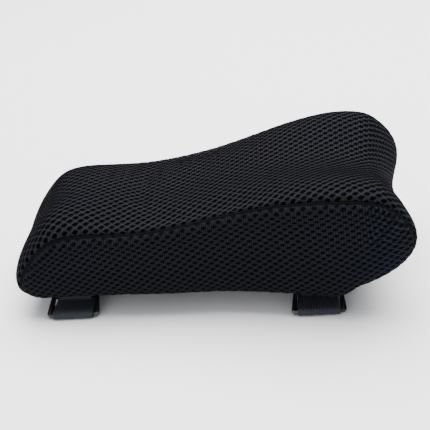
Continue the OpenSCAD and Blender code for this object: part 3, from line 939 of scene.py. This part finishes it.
def repeat_tree(name, sizes, labels):
    """A tree that lays one thing at even steps along every edge path of the mesh. Returns
    the tree, its input and the node that still needs the thing to lay."""
    tree = start_tree(name, sizes)
    nodes, links = tree.nodes, tree.links
    line, step, laying, finish, result = labels
    given = nodes.new("NodeGroupInput")
    given.label = "Paths and sizes"
    path = nodes.new("GeometryNodeMeshToCurve")
    path.label = line
    even = nodes.new("GeometryNodeCurveToPoints")
    even.label = step
    even.mode = "LENGTH"
    lay = nodes.new("GeometryNodeInstanceOnPoints")
    lay.label = laying
    real = nodes.new("GeometryNodeRealizeInstances")
    real.label = "Make them mesh"
    paint = nodes.new("GeometryNodeSetMaterial")
    paint.label = finish
    done = nodes.new("NodeGroupOutput")
    done.label = result
    links.new(given.outputs["Geometry"], path.inputs["Mesh"])
    links.new(path.outputs["Curve"], even.inputs["Curve"])
    links.new(given.outputs["Pitch"], even.inputs["Length"])
    links.new(even.outputs["Points"], lay.inputs["Points"])
    links.new(even.outputs["Rotation"], lay.inputs["Rotation"])
    links.new(lay.outputs["Instances"], real.inputs["Geometry"])
    links.new(real.outputs["Geometry"], paint.inputs["Geometry"])
    links.new(given.outputs["Material"], paint.inputs["Material"])
    links.new(paint.outputs["Geometry"], done.inputs["Geometry"])
    spread([[given], [path], [even], [], [], [], [lay], [real], [paint], [done]])
    return tree, given, lay


def stitch_tree():
    """Stitches of thread laid end to end along the paths."""
    tree, given, lay = repeat_tree(
        "rows_of_stitches", (("Pitch", 2.5 * MM), ("Stitch", 1.9 * MM), ("Thread", 0.5 * MM)),
        ("Sewing line", "One point for each stitch", "Lay the stitches", "Thread", "Stitches"))
    nodes, links = tree.nodes, tree.links
    bead = nodes.new("GeometryNodeMeshIcoSphere")
    bead.label = "Thread between two holes"
    bead.inputs["Radius"].default_value = 0.5
    bead.inputs["Subdivisions"].default_value = 2
    size = nodes.new("ShaderNodeCombineXYZ")
    size.label = "Length along the line"
    links.new(given.outputs["Thread"], size.inputs["X"])
    links.new(given.outputs["Thread"], size.inputs["Y"])
    links.new(given.outputs["Stitch"], size.inputs["Z"])
    links.new(bead.outputs["Mesh"], lay.inputs["Instance"])
    links.new(size.outputs["Vector"], lay.inputs["Scale"])
    spread([[], [], [], [bead, size]])
    return tree


def loop_tree(name, turn_about, lean):
    """Little loops of filament along the paths: a coil's turns, or a row of loops."""
    tree, given, lay = repeat_tree(
        name, (("Pitch", 1.5 * MM), ("Radius", 1.0 * MM), ("Wire", 0.5 * MM)),
        ("Line of the loops", "One point for each loop", "Lay the loops", "Filament finish",
         "Loops"))
    nodes, links = tree.nodes, tree.links
    hoop = nodes.new("GeometryNodeCurvePrimitiveCircle")
    hoop.label = "One loop"
    hoop.inputs["Resolution"].default_value = 12
    wire = nodes.new("GeometryNodeCurvePrimitiveCircle")
    wire.label = "Filament"
    wire.inputs["Resolution"].default_value = 6
    half = nodes.new("ShaderNodeMath")
    half.label = "Half the filament"
    half.operation = "MULTIPLY"
    half.inputs[1].default_value = 0.5
    body = nodes.new("GeometryNodeCurveToMesh")
    body.label = "Filament round the loop"
    tilt = nodes.new("GeometryNodeTransform")
    tilt.label = "Lean of the loop"
    tilt.inputs["Rotation"].default_value = tuple(
        lean if axis == turn_about else 0.0 for axis in "XYZ")
    links.new(given.outputs["Radius"], hoop.inputs["Radius"])
    links.new(given.outputs["Wire"], half.inputs[0])
    links.new(half.outputs["Value"], wire.inputs["Radius"])
    links.new(hoop.outputs["Curve"], body.inputs["Curve"])
    links.new(wire.outputs["Curve"], body.inputs["Profile Curve"])
    links.new(body.outputs["Mesh"], tilt.inputs["Geometry"])
    links.new(tilt.outputs["Geometry"], lay.inputs["Instance"])
    spread([[], [], [], [half, hoop, wire], [body], [tilt]])
    return tree


STITCHES = stitch_tree()
COIL_LOOPS = loop_tree("turns_of_the_coil", "Y", math.radians(90))
PILE_LOOPS = loop_tree("rows_of_loops", "X", math.radians(90))


def grow(name, paths, tree, sizes, material):
    """Runs a tree over the given lines of points and keeps the result as a plain mesh."""
    points = [tuple(map(float, p)) for line in paths for p in line]
    edges, first = [], 0
    for line in paths:
        edges += [(first + k, first + k + 1) for k in range(len(line) - 1)]
        first += len(line)
    guide_mesh = bpy.data.meshes.new(name + "_guide")
    guide_mesh.from_pydata(points, edges, [])
    guide = placed(name + "_guide", guide_mesh)
    run = guide.modifiers.new("nodes", "NODES")
    run.node_group = tree
    for item in tree.interface.items_tree:
        if item.in_out == "INPUT" and item.name in sizes:
            run[item.identifier] = sizes[item.name]
        if item.in_out == "INPUT" and item.name == "Material":
            run[item.identifier] = material
    bpy.context.view_layer.update()
    graph = bpy.context.evaluated_depsgraph_get()
    mesh = bpy.data.meshes.new_from_object(guide.evaluated_get(graph))
    mesh.name = name
    mesh.shade_smooth()
    piece = placed(name, mesh)
    guide.modifiers.clear()
    bpy.data.objects.remove(guide)
    return piece


def rounded_copy(node, name, width, material):
    """A CAD piece with its edges rounded off, as moulding or casting leaves them."""
    def round_off(work):
        bmesh.ops.remove_doubles(work, verts=work.verts, dist=0.01 * MM)
        bmesh.ops.dissolve_limit(work, angle_limit=math.radians(4), verts=work.verts,
                                 edges=work.edges)
        sharp = [edge for edge in work.edges
                 if len(edge.link_faces) == 2 and edge.is_convex
                 and edge.calc_face_angle() > math.radians(35)]
        bmesh.ops.bevel(work, geom=sharp, offset=width, offset_type="OFFSET", segments=3,
                        profile=0.5, affect="EDGES", clamp_overlap=True)

    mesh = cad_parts[node].data.copy()
    mesh.name = name
    cleaned(mesh, round_off)
    mesh.materials.clear()
    mesh.materials.append(material)
    mesh.shade_smooth()
    piece = placed(name, mesh)
    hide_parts(node)
    return piece


def tube(name, centres, radius, sides, material, closed=True):
    """A round cord through the given points, closed on itself or with capped ends."""
    line = np.asarray(centres, float)
    count = len(line)
    if closed:
        ahead = np.roll(line, -1, 0) - np.roll(line, 1, 0)
    else:
        ahead = np.gradient(line, axis=0)
    ahead /= np.linalg.norm(ahead, axis=1)[:, None]
    first = np.cross(ahead[0], (0.13, 0.27, 0.95))
    frames, side = [], first / np.linalg.norm(first)
    for direction in ahead:
        side = side - direction * side.dot(direction)
        side = side / np.linalg.norm(side)
        frames.append((side, np.cross(direction, side)))
    angle = np.arange(sides) * 2 * math.pi / sides
    points = np.concatenate([
        line[k] + radius * (np.cos(angle)[:, None] * frames[k][0]
                            + np.sin(angle)[:, None] * frames[k][1]) for k in range(count)])
    faces = []
    for k in range(count if closed else count - 1):
        here, there = k * sides, ((k + 1) % count) * sides
        for a in range(sides):
            b = (a + 1) % sides
            faces.append((here + a, here + b, there + b, there + a))
    if not closed:
        faces.append(tuple(range(sides))[::-1])
        faces.append(tuple((count - 1) * sides + a for a in range(sides)))
    piece = plain_piece(name, points, faces, material)
    cleaned(piece.data, face_outwards)
    return piece


# ---------------------------------------------------------------------------
# Seams between the panels
# ---------------------------------------------------------------------------
def seam_line(side, below):
    """Bottom of the groove round one side panel."""
    w = half_width(OUTLINE[:, 0])
    sunk = OUTLINE - OUT * below
    return np.stack([sunk[:, 0], side * (w - below), sunk[:, 1]], 1)


SEAM_SUNK = 1.9 * MM       # how deep the sewing lies
CORD_SUNK = 0.75 * MM      # and the sewn allowance below it
CORD_R = 1.35 * MM
for side, word in ((-1, "left"), (1, "right")):
    cord_line = seam_line(side, SEAM_SUNK + CORD_SUNK)[::4]
    allowance = tube(f"seam_{word}", cord_line, CORD_R, 8, shaded_seam_allowance)
    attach(allowance, "pad")
    sewn = seam_line(side, SEAM_SUNK - 0.25 * MM)[::2]
    row = grow(f"seam_stitches_{word}", [np.vstack([sewn, sewn[:1]])], STITCHES,
               {"Pitch": 2.6 * MM, "Stitch": 2.1 * MM, "Thread": 0.42 * MM}, groove_shaded_thread)
    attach(row, "pad")


# ---------------------------------------------------------------------------
# Zip
# ---------------------------------------------------------------------------
COIL_Y, COIL_R, COIL_Z = 1.35 * MM, 1.1 * MM, BASE_Z + 1.3 * MM


def woven_strip(name, path, x_mid, width, thickness, rib_pitch, rib_rise, material, along_x=False):
    """A flat band with lengthwise ribs, swept along a path of (y, z) points at x_mid.
    With along_x the path's points are (x, z) and the band lies across y about x_mid."""
    line = np.asarray(path, float)
    ahead = np.gradient(line, axis=0)
    ahead /= np.linalg.norm(ahead, axis=1)[:, None]
    up = np.stack([-ahead[:, 1], ahead[:, 0]], 1)
    steps = int(round(width / rib_pitch * 6))
    across = np.linspace(-width / 2, width / 2, steps + 1)
    rib = rib_rise * (0.5 + 0.5 * np.cos(across / rib_pitch * 2 * math.pi))
    edge = 1 - eased(width / 2 - np.abs(across), 0, 0.8 * MM)
    half = thickness / 2 - rib_rise + rib - edge * thickness * 0.22
    section = np.concatenate([np.stack([across, half], 1), np.stack([across, -half], 1)[::-1]])
    count = len(section)
    length = np.concatenate([[0], np.cumsum(np.linalg.norm(np.diff(line, axis=0), axis=1))])
    points, marks = [], []
    for place, rise, run in zip(line, up, length):
        middle = place[None] + section[:, 1:2] * rise[None]
        if along_x:
            points.append(np.stack([middle[:, 0], x_mid + section[:, 0], middle[:, 1]], 1))
        else:
            points.append(np.stack([x_mid + section[:, 0], middle[:, 0], middle[:, 1]], 1))
        marks.append(np.stack([section[:, 0], np.full(count, run), section[:, 1]], 1))
    faces = []
    for k in range(len(line) - 1):
        here, there = k * count, (k + 1) * count
        for a in range(count):
            b = (a + 1) % count
            faces.append((here + a, here + b, there + b, there + a))
    half_count = steps + 1
    for first, flip in ((0, True), ((len(line) - 1) * count, False)):
        for a in range(steps):
            face = (first + a, first + a + 1, first + 2 * half_count - 2 - a,
                    first + 2 * half_count - 1 - a)
            faces.append(face[::-1] if flip else face)
    piece = plain_piece(name, np.concatenate(points), faces, material)
    cloth = piece.data.attributes.new("cloth", "FLOAT_VECTOR", "POINT")
    cloth.data.foreach_set("vector", np.concatenate(marks).astype(np.float32).ravel())
    cleaned(piece.data, face_outwards)
    return piece


def even_path(points, step=1.0 * MM):
    """Puts points at even steps along straight legs."""
    line = np.asarray(points, float)
    length = np.concatenate([[0], np.cumsum(np.linalg.norm(np.diff(line, axis=0), axis=1))])
    at = np.linspace(0, length[-1], int(length[-1] / step) + 2)
    return np.stack([np.interp(at, length, line[:, 0]), np.interp(at, length, line[:, 1])], 1)


def half_turn(centre, radius, start, end, count=18):
    """Points of an arc in the Y-Z plane, angles in degrees from +Y towards +Z."""
    angle = np.radians(np.linspace(start, end, count))
    return np.stack([centre[0] + radius * np.cos(angle), centre[1] + radius * np.sin(angle)], 1)


ROW_END = ZIP_HALF_L - 2 * MM      # the coils stop short of the tapes

for side, word in ((-1, "left"), (1, "right")):
    inner = COIL_Y + COIL_R
    middle = side * (inner + ZIP_GAP / 2) / 2
    tape_line = even_path([(-ZIP_HALF_L, COIL_Z), (ZIP_HALF_L, COIL_Z)])
    tape = woven_strip(f"zip_tape_{word}", tape_line, middle, ZIP_GAP / 2 - inner + 0.6 * MM,
                       0.8 * MM, 0.6 * MM, 0.08 * MM, tape_cloth, along_x=True)
    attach(tape, "pad")
    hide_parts(f"zipper_tape_{word}")
    row = [(x, side * COIL_Y, COIL_Z) for x in np.linspace(-ROW_END, ROW_END, 3)]
    coil = grow(f"zip_coil_{word}", [row], COIL_LOOPS,
                {"Pitch": 1.35 * MM, "Radius": COIL_R - 0.3 * MM, "Wire": 0.6 * MM}, coil_nylon)
    core_line = [(x, side * COIL_Y, COIL_Z + z)
                 for x, z in even_path([(-ROW_END, 0), (ROW_END, 0)], 4 * MM)]
    core = tube(f"zip_core_{word}", core_line, 0.45 * MM, 8, thread_black, closed=False)
    for piece in (coil, core):
        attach(piece, "pad")
    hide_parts(f"zipper_coil_{word}")

stops = rounded_copy("zipper_stops", "zip_stops", 0.25 * MM, slider_paint)
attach(stops, "pad")
slider = rounded_copy("zipper_slider", "zip_slider", 0.12 * MM, slider_paint)
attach(slider, "slider_body")
pull = rounded_copy("zipper_pull", "zip_pull", 0.2 * MM, slider_paint)
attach(pull, "pull_body")

# ---------------------------------------------------------------------------
# Straps
# ---------------------------------------------------------------------------
WEB_W, WEB_T = 25.4 * MM, 1.3 * MM
KEEPER_W, KEEPER_T = 21 * MM, 1.0 * MM
WIRE_R = 1.3 * MM
RING_REACH = 14.3 * MM
WRAP_R = WIRE_R + 0.1 * MM + WEB_T / 2
BAND_Z = 2.9 * MM + WEB_T / 2
BAR_OUT_Z, BAR_IN_Z = 2.7 * MM, 7.1 * MM
BAR_DROP = math.sqrt(RING_REACH ** 2 - (BAR_IN_Z - BAR_OUT_Z) ** 2)
TAIL_L = 62 * MM
PATCH_L, PATCH_T = 34 * MM, 0.75 * MM


def hem_box(x, y, z, width, length):
    """A sewn rectangle seen from below, with a cross in it: lines of points."""
    a, b = (x - width / 2, y - length / 2, z), (x + width / 2, y - length / 2, z)
    c, d = (x + width / 2, y + length / 2, z), (x - width / 2, y + length / 2, z)
    return [[a, b], [b, c], [c, d], [d, a], [a, c], [b, d]]


def make_strap(word, x, overhang):
    """A strap at x with its ring this far outside the pad's edge, and all that is on it."""
    def web(part, path):
        return woven_strip(f"{word}_webbing_{part}", path, x, WEB_W, WEB_T, RIB_PITCH, RIB_RISE,
                           webbing_cloth)

    w = float(half_width(np.array([x]))[0])
    y_out = -w - overhang
    y_in = y_out + BAR_DROP
    y_turn = w - 8 * MM
    top_z = BASE_Z - WEB_T / 2
    turn_r = (top_z - BAND_Z) / 2

    # From its sewn end under the pad, round, and down to the strap's level.
    far = np.vstack([even_path([(y_turn - 24 * MM, top_z), (y_turn, top_z)]),
                     half_turn((y_turn, (top_z + BAND_Z) / 2), turn_r, 90, -90, 24)[1:]])
    far_web = web("far", far)
    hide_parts(f"{word}_anchor", f"{word}_riser")
    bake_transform(far_web)

    # Across under the armrest, over the ring's outer bar and round it.
    over_z = BAR_OUT_Z + WRAP_R
    near = np.vstack([even_path([(y_turn, BAND_Z), (y_in, BAND_Z), (y_out, over_z)]),
                      half_turn((y_out, BAR_OUT_Z), WRAP_R, 90, 270, 24)[1:]])
    near_web = web("near", near)
    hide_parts(f"{word}_strap")
    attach(near_web, f"{word}_strap_body")

    tail = even_path([(y_out, WEB_T / 2), (y_out + TAIL_L, WEB_T / 2)])
    tail_web = web("tail", tail)
    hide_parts(f"{word}_tail")
    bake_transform(tail_web)

    # The short keeper folded round the inner bar.
    r = WIRE_R + 0.1 * MM + KEEPER_T / 2
    top = BASE_Z - KEEPER_T / 2
    low = top - KEEPER_T - 0.05 * MM
    sewn = y_in + 7 * MM
    fold = np.vstack([
        even_path([(sewn + 19 * MM, top), (sewn, top), (y_in + 0.8 * MM, BAR_IN_Z + r)]),
        half_turn((y_in, BAR_IN_Z), r, 100, 300, 24),
        even_path([(y_in + r * 0.85, BAR_IN_Z - r * 0.5), (sewn + 2 * MM, low),
                   (sewn + 19 * MM, low)])])
    keeper = woven_strip(f"{word}_keeper_web", fold, x, KEEPER_W, KEEPER_T, RIB_PITCH,
                         0.12 * MM, webbing_cloth)
    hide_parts(f"{word}_keeper")
    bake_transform(keeper)

    ring = rounded_copy(f"{word}_ring", f"{word}_loop_ring", 0.45 * MM, ring_gloss)
    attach(ring, f"{word}_strap_body")

    # Touch fastener: hooks on the tail, loops on the strap above it.
    y_first = y_out + TAIL_L - PATCH_L - 2 * MM
    for kind, z, body, finish, face in (
            ("hook", WEB_T, f"{word}_tail_body", hook_pile, 1),
            ("loop", 2.15 * MM, f"{word}_strap_body", loop_pile, -1)):
        middle_z = z + PATCH_T / 2
        path = even_path([(y_first, middle_z), (y_first + PATCH_L, middle_z)])
        backing = woven_strip(f"{word}_{kind}_backing", path, x, WEB_W - 3 * MM,
                              PATCH_T * 0.5, 1.2 * MM, 0.03 * MM, finish)
        backing.data.transform(Matrix.Translation((0, 0, -face * PATCH_T * 0.25)))
        rows = np.arange(-WEB_W / 2 + 2.2 * MM, WEB_W / 2 - 2.1 * MM, 0.95 * MM)
        height = middle_z - face * PATCH_T * 0.05
        ends = (y_first + 0.8 * MM, y_first + PATCH_L - 0.8 * MM)
        lines = [[(x + a, y, height) for y in ends] for a in rows]
        pile = grow(f"{word}_{kind}_field", lines, PILE_LOOPS,
                    {"Pitch": 1.0 * MM, "Radius": 0.2 * MM, "Wire": 0.12 * MM}, finish)
        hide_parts(f"{word}_{kind}_patch")
        for piece in (backing, pile):
            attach(piece, body)

    anchored = hem_box(x, y_turn - 12 * MM, BASE_Z - WEB_T - 0.1 * MM, WEB_W - 4 * MM, 20 * MM)
    held = hem_box(x, sewn + 11 * MM, low - KEEPER_T / 2 - 0.08 * MM, KEEPER_W - 4 * MM, 13 * MM)
    sewing = grow(f"{word}_sewing", anchored + held, STITCHES,
                  {"Pitch": 2.3 * MM, "Stitch": 1.9 * MM, "Thread": 0.45 * MM}, thread_black)
    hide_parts(f"{word}_stitches")
    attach(sewing, "pad")


make_strap("front", -88.5 * MM, 2.5 * MM)
make_strap("rear", 66 * MM, -1 * MM)

# ---------------------------------------------------------------------------
# Camera, lights and stage
# ---------------------------------------------------------------------------
VIEW_UP, VIEW_TURN, VIEW_ROLL = math.radians(31.5), math.radians(6.4), math.radians(-6.57)
VIEW_FAR = 628 * MM
VIEW_TARGET = Vector((0.9 * MM, 0, 35 * MM))
VIEW_SHIFT = (0.0053, 0.0214)
SENSOR_W = 36            # millimetres, as Blender counts them
FOCAL_SHARE = 2.256      # focal length over the width of the picture


def set_camera():
    lens = bpy.data.cameras.new("view")
    eye = placed("view", lens)
    back = Vector((math.sin(VIEW_TURN) * math.cos(VIEW_UP),
                   -math.cos(VIEW_TURN) * math.cos(VIEW_UP), math.sin(VIEW_UP)))
    eye.location = VIEW_TARGET + back * VIEW_FAR
    level = back.to_track_quat("Z", "Y")
    eye.rotation_euler = (level.to_matrix() @ Matrix.Rotation(VIEW_ROLL, 3, "Z")).to_euler()
    lens.sensor_width = SENSOR_W
    lens.lens = SENSOR_W * FOCAL_SHARE
    lens.shift_x, lens.shift_y = VIEW_SHIFT
    lens.clip_start = 0.01
    bpy.context.scene.camera = eye


set_camera()


def soft_light(name, where, aim, size, power, tint):
    lamp = bpy.data.lights.new(name, "AREA")
    lamp.shape = "RECTANGLE"
    lamp.size, lamp.size_y = size
    lamp.energy = power
    lamp.color = tint
    holder = placed(name, lamp)
    holder.location = where
    holder.rotation_euler = (Vector(aim) - Vector(where)).to_track_quat("-Z", "Y").to_euler()


soft_light("overhead", (0.1, 0.35, 1.1), (0, 0, 0.03), (1.6, 1.2), 64.0, (1, 0.99, 0.98))
soft_light("front_fill", (-0.5, -1.1, 0.5), (0, 0, 0.04), (0.9, 0.6), 2.5, (0.93, 0.96, 1))

world = bpy.data.worlds.new("studio")
world.use_nodes = True
world.node_tree.nodes["Background"].inputs["Color"].default_value = (0.95, 0.96, 1.0, 1)
world.node_tree.nodes["Background"].inputs["Strength"].default_value = 0.75
bpy.context.scene.world = world


FLOOR_REACH = 6.0        # half the floor's width, in metres


def lay_floor():
    """A pale sheet under the pad, which belongs to the stage."""
    made = bpy.data.materials.new("pale_floor")
    made.use_nodes = True
    skin = made.node_tree.nodes["Principled BSDF"]
    skin.inputs["Base Color"].default_value = (0.96, 0.96, 0.96, 1)
    skin.inputs["Roughness"].default_value = 0.9
    corners = [(-1, -1), (1, -1), (1, 1), (-1, 1)]
    floor = plain_piece("floor", [(x * FLOOR_REACH, y * FLOOR_REACH, 0) for x, y in corners],
                        [(0, 1, 2, 3)], made)


lay_floor()
